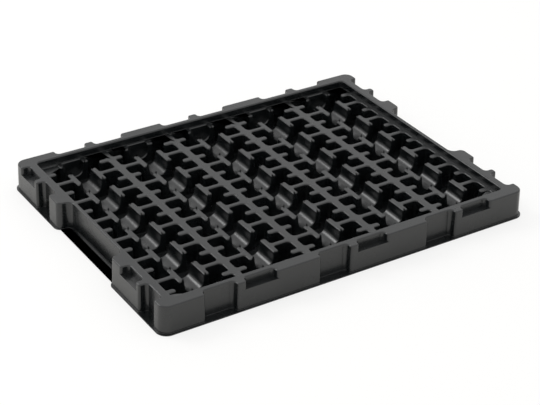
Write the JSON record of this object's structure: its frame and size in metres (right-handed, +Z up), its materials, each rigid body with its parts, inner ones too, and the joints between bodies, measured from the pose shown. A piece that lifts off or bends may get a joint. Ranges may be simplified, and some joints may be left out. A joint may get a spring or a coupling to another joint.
{
  "type": "thermoformed parts tray",
  "caption": "Black thermoformed plastic tray with a raised rim, a grid of cradles and wells for small parts, and notched sides for stacking and lifting.",
  "frame": {"origin": "middle of the tray in plan, on the plane it rests on", "axes": "+X along the long side, +Y along the short side towards the back, +Z up"},
  "size_m": [0.4, 0.3, 0.0285],
  "materials": {
    "sheet": "semi-gloss black sheet with a faint grain"
  },
  "bodies": {
    "root": {"tray": "sheet"}
  },
  "joints": []
}
